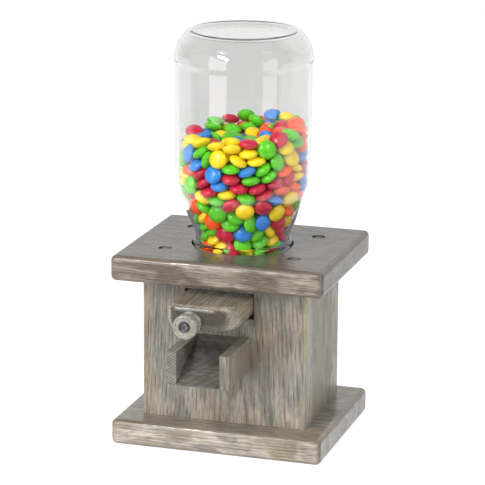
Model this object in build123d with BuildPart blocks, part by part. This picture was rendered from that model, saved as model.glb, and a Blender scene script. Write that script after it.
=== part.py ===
from build123d import *
import math
import os

os.makedirs("parts", exist_ok=True)

# Candy dispenser: an inverted screw jar on a wooden box with a pull-out portion slide.
# Millimetres, +X to the right, +Y to the back, +Z up. The origin is the centre of the
# base board's underside, and the slide and chute are on the front, towards -Y.

# Base and top boards
base_width = 159.0
base_depth = 134.0
base_thickness = 19.0
top_width = 159.0
top_depth = 134.0
top_thickness = 19.0
board_edge_radius = 4.0

# Box between the two boards
body_width = 123.5
body_depth = 91.5
body_height = 105.0
wall_thickness = 19.0
side_thickness = 19.0
corner_ease = 1.8

# Portion slide, its bed below and the feed plate above
slide_offset_x = -3.2
slide_width = 51.0
slide_thickness = 18.8
slide_front_proud = 44.3
slide_left_corner_radius = 7.5
slide_right_corner_radius = 17.0
slide_top_edge_radius = 4.0
slide_under_edge_radius = 7.0
slide_side_gap = 0.6
slide_face_gap = 0.2
feed_plate_thickness = 6.4
bed_thickness = 6.4
pocket_diameter = 25.0
pocket_margin = 0.75
feed_hole_diameter = 22.0
cover_margin = 2.0

# Stop pin in the slide, running in a groove of the left guide rail
pin_diameter = 5.0
pin_length = 16.0
pin_proud = 6.7
pin_clearance = 0.5
stop_gap = 0.25

# Knob on the slide's front and its screw
knob_offset_x = -7.4
knob_drop = 2.5
knob_diameter = 18.0
knob_length = 14.0
knob_neck_diameter = 12.4
knob_flange_diameter = 17.0
knob_flange_thickness = 3.0
knob_head_thickness = 7.0
knob_recess_diameter = 8.8
knob_recess_depth = 3.4
knob_screw_head_diameter = 6.3
knob_screw_head_thickness = 2.2
knob_screw_diameter = 3.5
knob_screw_bite = 16.0
drive_diameter = 2.6
drive_depth = 1.2

# Chute
chute_drop = 13.9
chute_wall_height = 24.5
chute_wall_thickness = 7.2
chute_inner_width = 32.1
chute_length = 49.8
ramp_lip = 0.8

# Wood screws, with their plugs in the top board
screw_diameter = 4.0
screw_head_diameter = 8.0
screw_head_thickness = 3.0
screw_bite = 22.0
screw_inset_x = 13.0
screw_shift_y = 2.9
hole_clearance = 0.1
plug_diameter = 10.0
plug_thickness = 3.6
plug_recess = 0.4
plug_rim = 0.7
base_screw_recess = 3.0
chute_screw_diameter = 3.0
chute_screw_head_diameter = 6.0
chute_screw_head_thickness = 2.4
chute_screw_bite = 16.0

# Jar, mouth down, with its screw band and lid
jar_height = 175.2
finish_diameter = 66.8
bore_diameter = 60.6
bead_proud = 3.2
bead_height = 4.4
neck_diameter = 69.2
neck_length = 4.6
shoulder_length = 35.2
jar_diameter = 99.2
heel_bulge = 0.8
heel_bulge_height = 23.5
heel_bulge_slope = 4.0
heel_bulge_round = 4.0
heel_height = 16.5
heel_round = 12.0
heel_turn_round = 7.0
heel_foot_round = 3.0
bearing_diameter = 78.6
bearing_land = 2.1
bearing_round = 1.2
push_up_depth = 2.6
push_up_slope = 4.0
push_up_round = 4.0
glass_thickness = 2.9
floor_thickness = 3.0
floor_edge_inset = 1.5
floor_edge_round = 3.0
shoulder_round = 30.0
neck_round = 3.0
neck_inside_round = 4.0
bead_round = 1.9
lip_round = 0.8
inside_shift = 1.0
jar_hole_gap = 1.0
band_wall = 0.7
band_gap = 0.9
band_height = 15.6
band_lip_margin = 1.0
band_top_gap = 1.0
lid_thickness = 1.2
lid_gap = 0.3
lid_screw_circle_diameter = 50.0
lid_screw_diameter = 3.0
lid_screw_head_diameter = 5.6
lid_screw_head_thickness = 1.6
lid_screw_bite = 5.0
lid_screw_count = 3

# Candies in the jar, as one heap: the outer ones in rows on a core
candy_diameter = 13.4
candy_thickness = 6.8
candy_sides = 8
candy_taper = 42.0
candy_spacing = 14.2
candy_row_pitch = 12.2
candy_swing = 55.0
candy_swing_rise = 1.0
candy_core_depth = 5.8
candy_gap = 1.0
candy_floor_gap = 0.4
candy_lift = 1.3
candy_edge_height = 102.5
candy_mound = 6.0

# Heights, from the ground up
body_floor_z = base_thickness
body_top_z = body_floor_z + body_height
top_surface_z = body_top_z + top_thickness
slide_top_z = body_top_z - feed_plate_thickness - slide_face_gap
slide_bottom_z = slide_top_z - slide_thickness
slot_floor_z = slide_bottom_z - slide_face_gap
slide_middle_z = (slide_top_z + slide_bottom_z) / 2
chute_top_z = slot_floor_z - chute_drop
chute_bottom_z = chute_top_z - chute_wall_height

# Depths, from front to back
front_y = -body_depth / 2
back_y = body_depth / 2
inner_front_y = front_y + wall_thickness
inner_back_y = back_y - wall_thickness
inner_depth = inner_back_y - inner_front_y
slide_travel = inner_depth - pin_diameter - 2 * stop_gap
pulled_pocket_y = front_y - pocket_diameter / 2 - pocket_margin
feed_y = pulled_pocket_y + slide_travel
slide_front_y = front_y - slide_front_proud
slide_back_y = feed_y + feed_hole_diameter / 2 + cover_margin + slide_travel
pin_y = inner_back_y - stop_gap - pin_diameter / 2
chute_front_y = front_y - chute_length

# Widths, from left to right
inner_half_width = body_width / 2 - side_thickness
slot_width = slide_width + 2 * slide_side_gap
slot_left_x = slide_offset_x - slot_width / 2
slot_right_x = slide_offset_x + slot_width / 2
slide_left_x = slide_offset_x - slide_width / 2
knob_x = slide_offset_x + knob_offset_x
knob_z = slide_middle_z - knob_drop
chute_wall_offset = (chute_inner_width + chute_wall_thickness) / 2

# Screw places, the same in the base and in the top
screw_x = body_width / 2 - screw_inset_x
screw_y = body_depth / 2 - wall_thickness / 2 - screw_shift_y

# Jar sizes that follow from the ones above
lip_z = body_top_z + band_wall + lid_thickness + lid_gap
jar_top_z = lip_z + jar_height
bead_bottom_z = lip_z + band_height
bead_top_z = bead_bottom_z + bead_height
neck_top_z = bead_top_z + neck_length
shoulder_top_z = neck_top_z + shoulder_length
finish_r = finish_diameter / 2
bore_r = bore_diameter / 2
bead_r = finish_r + bead_proud
neck_r = neck_diameter / 2
jar_r = jar_diameter / 2
heel_r = jar_r + heel_bulge
bearing_r = bearing_diameter / 2
bearing_land_r = bearing_r + bearing_land
heel_width = heel_r - bearing_land_r
heel_floor_r = bearing_r - floor_edge_inset
inside_r = jar_r - glass_thickness
neck_inside_r = neck_r - glass_thickness
jar_floor_z = jar_top_z - push_up_depth - floor_thickness
inside_round = shoulder_round - glass_thickness
top_hole_r = bead_r + jar_hole_gap
band_inner_r = finish_r + band_gap
band_outer_r = band_inner_r + band_wall
lid_top_z = body_top_z + band_wall + lid_thickness

# Planes used by several pieces
front_plane = Plane.XZ.offset(-front_y)
inner_front_plane = Plane.XZ.offset(-inner_front_y)
underside = Plane(origin=(0, 0, 0), x_dir=(1, 0, 0), z_dir=(0, 0, -1))


def finish(piece, name):
    """Label a finished piece and write its STEP file."""
    piece.part.label = name
    export_step(piece.part, f"parts/{name}.step")


def pan_screw(length, diameter, head_diameter, head_thickness):
    """Make a pan-head screw that points down, with its head's seat at the origin."""
    with BuildPart() as screw:
        with BuildSketch(Plane.XZ):
            with BuildLine():
                Polyline(
                    (0, head_thickness),
                    (head_diameter / 2 * 0.7, head_thickness),
                    (head_diameter / 2, head_thickness * 0.55),
                    (head_diameter / 2, 0),
                    (diameter / 2, 0),
                    (diameter / 2, -length + diameter),
                    (0, -length),
                    close=True,
                )
            make_face()
        revolve(axis=Axis.Z)
        with BuildSketch(Plane.XY.offset(head_thickness)):
            RegularPolygon(drive_diameter / 2, 6)
        extrude(amount=-drive_depth, mode=Mode.SUBTRACT)
    return screw.part


# Base board, with a counterbored hole for each screw from below
with BuildPart() as base_board:
    with BuildSketch():
        Rectangle(base_width, base_depth)
    extrude(amount=base_thickness)
    fillet(base_board.edges(), board_edge_radius)
    with Locations(underside):
        with GridLocations(2 * screw_x, 2 * screw_y, 2, 2):
            CounterBoreHole(
                screw_diameter / 2 + hole_clearance,
                plug_diameter / 2,
                base_screw_recess + screw_head_thickness,
            )
finish(base_board, "base_board")

# Front board, notched from its top edge for the slide
with BuildPart() as front_board:
    with BuildSketch(inner_front_plane):
        with Locations((0, body_floor_z)):
            Rectangle(body_width, body_height, align=(Align.CENTER, Align.MIN))
        with Locations((slide_offset_x, slot_floor_z)):
            Rectangle(
                slot_width,
                body_top_z - slot_floor_z,
                align=(Align.CENTER, Align.MIN),
                mode=Mode.SUBTRACT,
            )
    extrude(amount=wall_thickness)
    outer_edges = front_board.edges().filter_by(Axis.Z).filter_by(lambda e: e.length > body_height - 1)
    fillet(outer_edges.group_by(Axis.Y)[0], corner_ease)
    with Locations(Plane.XY.offset(body_top_z)):
        with Locations((-screw_x, -screw_y), (screw_x, -screw_y)):
            Hole(screw_diameter / 2 + hole_clearance, screw_bite)
    with Locations(Plane(origin=(0, 0, body_floor_z), x_dir=(1, 0, 0), z_dir=(0, 0, -1))):
        with Locations((-screw_x, screw_y), (screw_x, screw_y)):
            Hole(screw_diameter / 2 + hole_clearance, screw_bite)
    with Locations(front_plane):
        with Locations(
            (slide_offset_x - chute_wall_offset, (chute_top_z + chute_bottom_z) / 2),
            (slide_offset_x + chute_wall_offset, (chute_top_z + chute_bottom_z) / 2),
        ):
            Hole(chute_screw_diameter / 2 + hole_clearance, wall_thickness)
finish(front_board, "front_board")

# Back board, with the same notch, so the slide's tail can run through it
with BuildPart() as back_board:
    with BuildSketch(Plane.XZ.offset(-back_y)):
        with Locations((0, body_floor_z)):
            Rectangle(body_width, body_height, align=(Align.CENTER, Align.MIN))
        with Locations((slide_offset_x, slot_floor_z)):
            Rectangle(
                slot_width,
                body_top_z - slot_floor_z,
                align=(Align.CENTER, Align.MIN),
                mode=Mode.SUBTRACT,
            )
    extrude(amount=wall_thickness)
    outer_edges = back_board.edges().filter_by(Axis.Z).filter_by(lambda e: e.length > body_height - 1)
    fillet(outer_edges.group_by(Axis.Y)[-1], corner_ease)
    with Locations(Plane.XY.offset(body_top_z)):
        with Locations((-screw_x, screw_y), (screw_x, screw_y)):
            Hole(screw_diameter / 2 + hole_clearance, screw_bite)
    with Locations(Plane(origin=(0, 0, body_floor_z), x_dir=(1, 0, 0), z_dir=(0, 0, -1))):
        with Locations((-screw_x, -screw_y), (screw_x, -screw_y)):
            Hole(screw_diameter / 2 + hole_clearance, screw_bite)
finish(back_board, "back_board")

# Side boards, butted between the front and back boards
for side, side_name in ((-1, "left_side_board"), (1, "right_side_board")):
    with BuildPart() as side_board:
        with BuildSketch(Plane.XY.offset(body_floor_z)):
            with Locations((side * (body_width - side_thickness) / 2, 0)):
                Rectangle(side_thickness, inner_depth)
        extrude(amount=body_height)
    finish(side_board, side_name)

# Top board, with the jar's hole and a counterbore over each screw for its plug
with BuildPart() as top_board:
    with BuildSketch(Plane.XY.offset(body_top_z)):
        Rectangle(top_width, top_depth)
    extrude(amount=top_thickness)
    fillet(top_board.edges(), board_edge_radius)
    with Locations(Plane.XY.offset(top_surface_z)):
        Hole(top_hole_r, top_thickness)
        with GridLocations(2 * screw_x, 2 * screw_y, 2, 2):
            CounterBoreHole(
                screw_diameter / 2 + hole_clearance,
                plug_diameter / 2,
                plug_recess + plug_thickness + screw_head_thickness,
                top_thickness,
            )
finish(top_board, "top_board")

# Feed plate under the top board: its tongues close both notches above the slide
with BuildPart() as feed_plate:
    with BuildSketch(Plane.XY.offset(body_top_z)):
        Rectangle(2 * inner_half_width, inner_depth)
        with Locations((slide_offset_x, 0)):
            Rectangle(slot_width, body_depth)
        with Locations((slide_offset_x, feed_y)):
            Circle(feed_hole_diameter / 2, mode=Mode.SUBTRACT)
    extrude(amount=-feed_plate_thickness)
    with Locations(Plane.XY.offset(body_top_z)):
        with PolarLocations(lid_screw_circle_diameter / 2, lid_screw_count, start_angle=90):
            Hole(lid_screw_diameter / 2 + hole_clearance, lid_screw_bite + hole_clearance)
finish(feed_plate, "feed_plate")

# Bed that the slide runs on
with BuildPart() as slide_bed:
    with BuildSketch(Plane.XY.offset(slot_floor_z)):
        Rectangle(2 * inner_half_width, inner_depth)
    extrude(amount=-bed_thickness)
finish(slide_bed, "slide_bed")

# Left guide rail, with a groove for the stop pin that is open at its top
rail_top_z = body_top_z - feed_plate_thickness
left_rail_width = slot_left_x + inner_half_width
groove_depth = pin_proud + pin_clearance - slide_side_gap
groove_floor_z = slide_middle_z - pin_diameter / 2 - pin_clearance
with BuildPart() as left_guide_rail:
    with BuildSketch(inner_front_plane):
        with BuildLine():
            Polyline(
                (-inner_half_width, slot_floor_z),
                (slot_left_x, slot_floor_z),
                (slot_left_x, groove_floor_z),
                (slot_left_x - groove_depth, groove_floor_z),
                (slot_left_x - groove_depth, rail_top_z),
                (-inner_half_width, rail_top_z),
                close=True,
            )
        make_face()
    extrude(amount=-inner_depth)
finish(left_guide_rail, "left_guide_rail")

# Right guide rail
with BuildPart() as right_guide_rail:
    with BuildSketch(inner_front_plane):
        with Locations((slot_right_x, slot_floor_z)):
            Rectangle(
                inner_half_width - slot_right_x,
                rail_top_z - slot_floor_z,
                align=(Align.MIN, Align.MIN),
            )
    extrude(amount=-inner_depth)
finish(right_guide_rail, "right_guide_rail")

# Portion slide: rounded all along, most at its front's right corner and underneath, with a
# through pocket that carries a few candies
slide_length = slide_back_y - slide_front_y
with BuildPart() as slide_bar:
    with BuildSketch(Plane.XY.offset(slide_bottom_z)):
        with Locations((slide_offset_x, slide_front_y)):
            Rectangle(slide_width, slide_length, align=(Align.CENTER, Align.MIN))
    extrude(amount=slide_thickness)
    front_corners = slide_bar.edges().filter_by(Axis.Z).group_by(Axis.Y)[0].sort_by(Axis.X)
    fillet(front_corners[0], slide_left_corner_radius)
    fillet(front_corners[-1], slide_right_corner_radius)
    for face_index, edge_radius in ((-1, slide_top_edge_radius), (0, slide_under_edge_radius)):
        rim = slide_bar.faces().sort_by(Axis.Z)[face_index].edges()
        fillet(rim.filter_by(lambda e: e.center().Y < slide_back_y - 0.1), edge_radius)
    with Locations(Plane.XY.offset(slide_top_z)):
        with Locations((slide_offset_x, feed_y)):
            Hole(pocket_diameter / 2, slide_thickness)
    with Locations(Plane.XZ.offset(-slide_front_y)):
        with Locations((knob_x, knob_z)):
            Hole(knob_screw_diameter / 2 + hole_clearance, knob_screw_bite + hole_clearance)
    with Locations(Plane(origin=(slide_left_x, pin_y, slide_middle_z), z_dir=(-1, 0, 0))):
        Hole(pin_diameter / 2 + hole_clearance, pin_length - pin_proud)
finish(slide_bar, "slide_bar")

# Stop pin, a dowel in the slide's left side
with BuildPart() as stop_pin:
    with BuildSketch(Plane(origin=(slide_left_x - pin_proud, pin_y, slide_middle_z), z_dir=(1, 0, 0))):
        Circle(pin_diameter / 2)
    extrude(amount=pin_length)
    chamfer(stop_pin.edges().group_by(Axis.X)[0], 0.5)
finish(stop_pin, "stop_pin")

# Knob, turned about an axis square to the slide's front
knob_r = knob_diameter / 2
knob_neck_r = knob_neck_diameter / 2
knob_flange_r = knob_flange_diameter / 2
knob_recess_r = knob_recess_diameter / 2
knob_axis_plane = Plane(origin=(knob_x, slide_front_y, knob_z), x_dir=(1, 0, 0), z_dir=(0, 0, 1))
with BuildPart() as knob:
    with BuildSketch(knob_axis_plane) as knob_half:
        with BuildLine():
            FilletPolyline(
                (knob_screw_diameter / 2 + hole_clearance, 0),
                (knob_flange_r, 0),
                (knob_flange_r, -knob_flange_thickness),
                (knob_neck_r, -knob_flange_thickness - 0.6),
                (knob_neck_r, -knob_length + knob_head_thickness + 0.6),
                (knob_r, -knob_length + knob_head_thickness),
                (knob_r, -knob_length),
                (knob_recess_r, -knob_length),
                (knob_recess_r, -knob_length + knob_recess_depth),
                (knob_screw_diameter / 2 + hole_clearance, -knob_length + knob_recess_depth),
                radius=[0.0, 0.0, 1.2, 0.0, 0.0, 1.6, 2.4, 0.7, 0.0, 0.0],
                close=True,
            )
        make_face()
    revolve(axis=Axis((knob_x, slide_front_y, knob_z), (0, 1, 0)))
finish(knob, "knob")

# Screw that holds the knob, its head down in the knob's recess
knob_screw_seat_y = slide_front_y - knob_length + knob_recess_depth
knob_screw_blank = pan_screw(
    slide_front_y + knob_screw_bite - knob_screw_seat_y,
    knob_screw_diameter,
    knob_screw_head_diameter,
    knob_screw_head_thickness,
)
with BuildPart() as knob_screw:
    with Locations(Plane(origin=(knob_x, knob_screw_seat_y, knob_z), z_dir=(0, -1, 0))):
        add(knob_screw_blank)
finish(knob_screw, "knob_screw")

# Chute: two side walls and a ramp between them, on the front board
chute_middle_z = (chute_top_z + chute_bottom_z) / 2
for side, wall_name in ((-1, "chute_left_wall"), (1, "chute_right_wall")):
    wall_x = slide_offset_x + side * chute_wall_offset
    with BuildPart() as chute_wall:
        with BuildSketch(Plane.XY.offset(chute_bottom_z)):
            with Locations((wall_x, front_y)):
                Rectangle(chute_wall_thickness, chute_length, align=(Align.CENTER, Align.MAX))
        extrude(amount=chute_wall_height)
        with Locations(Plane(origin=(wall_x, front_y, chute_middle_z), z_dir=(0, 1, 0))):
            Hole(chute_screw_diameter / 2 + hole_clearance, chute_screw_bite + hole_clearance)
    finish(chute_wall, wall_name)

with BuildPart() as chute_ramp:
    with BuildSketch(Plane.YZ.offset(slide_offset_x - chute_inner_width / 2)):
        with BuildLine():
            Polyline(
                (chute_front_y, chute_bottom_z),
                (front_y, chute_bottom_z),
                (front_y, chute_top_z),
                (chute_front_y, chute_bottom_z + ramp_lip),
                close=True,
            )
        make_face()
    extrude(amount=chute_inner_width)
finish(chute_ramp, "chute_ramp")

# Screws that hold the chute walls, driven from inside the box
chute_screw_blank = pan_screw(
    wall_thickness + chute_screw_bite,
    chute_screw_diameter,
    chute_screw_head_diameter,
    chute_screw_head_thickness,
)
chute_screw_plane = Plane(
    origin=(slide_offset_x, inner_front_y, chute_middle_z), x_dir=(1, 0, 0), z_dir=(0, 1, 0)
)
with BuildPart() as chute_screws:
    with Locations(chute_screw_plane):
        with GridLocations(2 * chute_wall_offset, 0, 2, 1):
            add(chute_screw_blank)
finish(chute_screws, "chute_screws")

# Screws from the top board down into the front and back boards
top_screw_seat_z = top_surface_z - plug_recess - plug_thickness - screw_head_thickness
top_screw_blank = pan_screw(
    top_screw_seat_z - body_top_z + screw_bite - hole_clearance,
    screw_diameter,
    screw_head_diameter,
    screw_head_thickness,
)
with BuildPart() as top_screws:
    with Locations(Plane.XY.offset(top_screw_seat_z)):
        with GridLocations(2 * screw_x, 2 * screw_y, 2, 2):
            add(top_screw_blank)
finish(top_screws, "top_screws")

# Wooden plugs over those screws, a little below the surface, with an eased rim
with BuildPart() as top_plugs:
    with BuildSketch(Plane.XY.offset(top_surface_z - plug_recess)):
        with GridLocations(2 * screw_x, 2 * screw_y, 2, 2):
            Circle(plug_diameter / 2 - hole_clearance)
    extrude(amount=-plug_thickness)
    chamfer(top_plugs.edges().group_by(Axis.Z)[-1], plug_rim)
finish(top_plugs, "top_plugs")

# Screws from the base board up into the front and back boards
base_screw_seat_z = base_screw_recess + screw_head_thickness
base_screw_blank = pan_screw(
    base_thickness - base_screw_seat_z + screw_bite - hole_clearance,
    screw_diameter,
    screw_head_diameter,
    screw_head_thickness,
)
with BuildPart() as base_screws:
    with Locations(Plane(origin=(0, 0, base_screw_seat_z), x_dir=(1, 0, 0), z_dir=(0, 0, -1))):
        with GridLocations(2 * screw_x, 2 * screw_y, 2, 2):
            add(base_screw_blank)
finish(base_screws, "base_screws")

# Screw band in the top board's hole, its inward lip on the feed plate
band_lip_r = (lid_screw_circle_diameter + lid_screw_head_diameter) / 2 + band_lip_margin
with BuildPart() as jar_band:
    with BuildSketch(Plane.XZ):
        with BuildLine():
            Polyline(
                (band_lip_r, body_top_z),
                (band_outer_r, body_top_z),
                (band_outer_r, lip_z + band_height - band_top_gap),
                (band_inner_r, lip_z + band_height - band_top_gap),
                (band_inner_r, body_top_z + band_wall),
                (band_lip_r, body_top_z + band_wall),
                close=True,
            )
        make_face()
    revolve(axis=Axis.Z)
finish(jar_band, "jar_band")

# Lid disc on the band's lip, with the feed hole
with BuildPart() as lid_disc:
    with BuildSketch(Plane.XY.offset(lid_top_z)):
        Circle(band_inner_r - lid_gap)
        with Locations((slide_offset_x, feed_y)):
            Circle(feed_hole_diameter / 2, mode=Mode.SUBTRACT)
    extrude(amount=-lid_thickness)
    with Locations(Plane.XY.offset(lid_top_z)):
        with PolarLocations(lid_screw_circle_diameter / 2, lid_screw_count, start_angle=90):
            Hole(lid_screw_diameter / 2 + hole_clearance, lid_thickness)
finish(lid_disc, "lid_disc")

# Screws that hold the lid disc to the feed plate
lid_screw_blank = pan_screw(
    lid_thickness + band_wall + lid_screw_bite,
    lid_screw_diameter,
    lid_screw_head_diameter,
    lid_screw_head_thickness,
)
with BuildPart() as lid_screws:
    with Locations(Plane.XY.offset(lid_top_z)):
        with PolarLocations(lid_screw_circle_diameter / 2, lid_screw_count, start_angle=90):
            add(lid_screw_blank)
finish(lid_screws, "lid_screws")

# Glass jar, mouth down, as one revolved wall
with BuildPart() as jar:
    with BuildSketch(Plane.XZ):
        with BuildLine():
            FilletPolyline(
                (0, jar_top_z - push_up_depth),
                (bearing_r - push_up_slope, jar_top_z - push_up_depth),
                (bearing_r, jar_top_z),
                (bearing_land_r, jar_top_z - heel_height * 0.06),
                (heel_r - heel_width * 0.3, jar_top_z - heel_height * 0.5),
                (heel_r, jar_top_z - heel_height),
                (heel_r, jar_top_z - heel_bulge_height + heel_bulge_slope / 2),
                (jar_r, jar_top_z - heel_bulge_height - heel_bulge_slope / 2),
                (jar_r, shoulder_top_z),
                (neck_r, neck_top_z),
                (neck_r, bead_top_z),
                (bead_r, bead_top_z),
                (bead_r, bead_bottom_z),
                (finish_r, bead_bottom_z),
                (finish_r, lip_z),
                (bore_r, lip_z),
                (neck_inside_r, neck_top_z - inside_shift),
                (inside_r, shoulder_top_z - inside_shift),
                (inside_r, jar_top_z - heel_height - inside_shift),
                (inside_r - heel_width * 0.3, jar_top_z - heel_height * 0.5 - glass_thickness),
                (heel_floor_r, jar_floor_z + push_up_depth * 0.4),
                (0, jar_floor_z),
                radius=[
                    0.0,
                    push_up_round,
                    bearing_round,
                    heel_foot_round,
                    heel_turn_round,
                    heel_round,
                    heel_bulge_round,
                    heel_bulge_round,
                    shoulder_round,
                    neck_round,
                    0.0,
                    bead_round,
                    bead_round,
                    0.0,
                    lip_round,
                    0.0,
                    neck_inside_round,
                    inside_round,
                    heel_round,
                    heel_turn_round,
                    floor_edge_round,
                    0.0,
                ],
                close=True,
            )
        make_face()
    revolve(axis=Axis.Z)
finish(jar, "jar")

# Candies in the jar: the heap's outer candies, in rows against the glass and in rings on top,
# half sunk in a core that stands for those within. They keep clear of the lid's screws.
heap_floor_z = lid_top_z + lid_screw_head_thickness + candy_floor_gap
heap_edge_z = lip_z + candy_edge_height
heap_mouth_r = bore_r - candy_gap
heap_neck_r = neck_inside_r - candy_gap
heap_r = inside_r - candy_gap
candy_r = candy_diameter / 2


def candy_ring(touch_r, touch_z, outward, shift):
    """Make the planes of a ring of candies that touch the heap's outline at one height.

    outward is the outline's outward direction there, in degrees above level. Each candy is
    tilted from it its own way, and shift turns the ring by that share of a step.
    """
    nearest_r = touch_r - candy_r * math.cos(math.radians(outward))
    count = max(1, int(2 * math.pi * nearest_r / candy_spacing))
    planes = []
    for index in range(count):
        turn = 2 * math.pi * (index + shift) / count
        tilt = math.radians(candy_swing) * math.sin(2.4 * index + touch_z / candy_swing_rise)
        reach = math.hypot(candy_r * math.sin(tilt), candy_thickness / 2 * math.cos(tilt))
        level = math.radians(outward)
        middle_r = touch_r - reach * math.cos(level)
        facing = level + tilt
        planes.append(
            Plane(
                origin=(
                    middle_r * math.cos(turn),
                    middle_r * math.sin(turn),
                    touch_z - reach * math.sin(level),
                ),
                x_dir=(-math.sin(turn), math.cos(turn), 0),
                z_dir=(
                    math.cos(facing) * math.cos(turn),
                    math.cos(facing) * math.sin(turn),
                    math.sin(facing),
                ),
            )
        )
    return planes


heap_outline = [
    Vector(heap_mouth_r, heap_floor_z + candy_lift),
    Vector(heap_neck_r, neck_top_z - inside_shift),
    Vector(heap_r, shoulder_top_z - inside_shift),
    Vector(heap_r, heap_edge_z),
]
candy_planes = []
for low, high in zip(heap_outline[:-1], heap_outline[1:]):
    slant = high - low
    row_count = round(slant.length / candy_row_pitch)
    for row in range(row_count):
        touch = low + slant * ((row + 0.5) / row_count)
        outward = math.degrees(math.atan2(-slant.X, slant.Y))
        candy_planes += candy_ring(touch.X, touch.Y, outward, row % 2 / 2)
ring_count = int((heap_r - 1.5 * candy_diameter) / candy_row_pitch) + 1
for ring in range(ring_count):
    ring_r = (heap_r - 1.5 * candy_diameter) * (1 - ring / (ring_count - 1))
    candy_planes += candy_ring(ring_r, heap_edge_z + candy_mound * (1 - ring_r / heap_r), 90, ring / 2)

with BuildPart() as candy:
    with BuildSketch():
        RegularPolygon(candy_r, candy_sides)
    extrude(amount=candy_thickness / 2, both=True, taper=candy_taper)

with BuildPart() as candy_fill:
    with BuildSketch(Plane.XZ):
        with BuildLine():
            Polyline(
                (0, heap_floor_z),
                (heap_mouth_r - candy_core_depth, heap_floor_z),
                (heap_neck_r - candy_core_depth, neck_top_z - inside_shift),
                (heap_r - candy_core_depth, shoulder_top_z - inside_shift),
                (heap_r - candy_core_depth, heap_edge_z - candy_core_depth),
                (0, heap_edge_z + candy_mound - candy_core_depth),
                close=True,
            )
        make_face()
    revolve(axis=Axis.Z)
    with Locations(*candy_planes):
        add(candy.part)
finish(candy_fill, "candy_fill")
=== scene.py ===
import bpy
import math
import random
import numpy as np
from mathutils import Matrix, Vector


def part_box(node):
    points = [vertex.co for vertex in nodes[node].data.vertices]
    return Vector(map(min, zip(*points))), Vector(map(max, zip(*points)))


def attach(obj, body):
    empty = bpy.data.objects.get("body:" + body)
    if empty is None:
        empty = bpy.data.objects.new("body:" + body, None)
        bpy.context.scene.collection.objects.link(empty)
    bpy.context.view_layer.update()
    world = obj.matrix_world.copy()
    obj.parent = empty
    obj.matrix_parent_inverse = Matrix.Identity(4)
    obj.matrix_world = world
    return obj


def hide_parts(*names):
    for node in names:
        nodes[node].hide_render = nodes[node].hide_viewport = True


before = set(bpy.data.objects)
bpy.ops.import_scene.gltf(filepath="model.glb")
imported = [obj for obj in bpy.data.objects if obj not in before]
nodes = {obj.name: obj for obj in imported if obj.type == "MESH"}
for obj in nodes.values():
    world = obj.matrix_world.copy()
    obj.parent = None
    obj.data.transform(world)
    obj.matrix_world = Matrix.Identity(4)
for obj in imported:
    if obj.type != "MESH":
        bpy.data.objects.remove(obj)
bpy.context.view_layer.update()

scene = bpy.context.scene
bpy.ops.object.select_all(action="DESELECT")

# Camera: a long lens, a little to the right of the front and above the top board, rolled by
# less than half a degree, as in the photo.
photo_size_px = 485.0
focal_px = 2516.9
camera_azimuth = math.radians(17.10)
camera_elevation = math.radians(14.60)
camera_roll = math.radians(0.435)
camera_distance = 1.8505
camera_target = Vector((-0.0001, 0.0, 0.1428))
camera_back = Vector((
    math.sin(camera_azimuth) * math.cos(camera_elevation),
    -math.cos(camera_azimuth) * math.cos(camera_elevation),
    math.sin(camera_elevation),
))
level_right = Vector((0, 0, 1)).cross(camera_back).normalized()
level_up = camera_back.cross(level_right)
camera_right = math.cos(camera_roll) * level_right + math.sin(camera_roll) * level_up
camera_up = math.cos(camera_roll) * level_up - math.sin(camera_roll) * level_right
bpy.ops.object.camera_add()
camera = bpy.context.object
camera.data.sensor_width = 36.0
camera.data.lens = focal_px / photo_size_px * camera.data.sensor_width
camera.data.clip_start = 0.05
camera.data.clip_end = 50.0
turn = Matrix((camera_right, camera_up, camera_back)).transposed()
camera.matrix_world = Matrix.Translation(camera_target + camera_back * camera_distance) @ turn.to_4x4()
scene.camera = camera

# Studio: a pale floor and a white sweep behind it, in a dim room with two tall windows in front,
# a skylight and a small lamp above each. Camera, gloss and glass see the floor and the sweep as
# white, and the rest only lights.
scene.view_settings.view_transform = "Standard"
sky_light = 0.42
room_gloss = 0.07
floor_albedo = 0.82
world = bpy.data.worlds.new("studio_sky")
world.use_nodes = True
scene.world = world


def link_math(tree, operation, first, second=None):
    """Add a Math node of two sockets or numbers and return its output."""
    node = tree.nodes.new("ShaderNodeMath")
    node.operation = operation
    for socket, value in zip(node.inputs, (first, second)):
        if value is None:
            continue
        if isinstance(value, (int, float)):
            socket.default_value = value
        else:
            tree.links.new(value, socket)
    return node.outputs[0]


def link_step(tree, value, low, high, start=0.0, end=1.0):
    """Turn a value smoothly from start at low to end at high."""
    node = tree.nodes.new("ShaderNodeMapRange")
    node.interpolation_type = "SMOOTHSTEP"
    for name, number in (("From Min", low), ("From Max", high), ("To Min", start), ("To Max", end)):
        node.inputs[name].default_value = number
    tree.links.new(value, node.inputs["Value"])
    return node.outputs["Result"]


def reflected(tree):
    """1 where this is seen in a reflection. Light that glass only bends has a gloss depth of 0."""
    path = tree.nodes.new("ShaderNodeLightPath")
    after_gloss = link_math(tree, "GREATER_THAN", path.outputs["Glossy Depth"], 0.5)
    return link_math(tree, "MULTIPLY", path.outputs["Is Glossy Ray"], after_gloss)


def seen_as_background(tree, gloss_level):
    """1 where the camera sees this directly or through glass, gloss_level where gloss reflects it
    there, and 0 where it only lights things."""
    path = tree.nodes.new("ShaderNodeLightPath")
    gloss = link_math(tree, "MULTIPLY", reflected(tree), gloss_level)
    before_gloss = link_math(tree, "LESS_THAN", path.outputs["Glossy Depth"], 0.5)
    through_glass = link_math(tree, "MULTIPLY", path.outputs["Is Transmission Ray"], before_gloss)
    direct = link_math(tree, "MAXIMUM", path.outputs["Is Camera Ray"], through_glass)
    either = link_math(tree, "MAXIMUM", direct, gloss)
    unlit = link_math(tree, "LESS_THAN", path.outputs["Diffuse Depth"], 0.5)
    return link_math(tree, "MULTIPLY", either, unlit)


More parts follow.
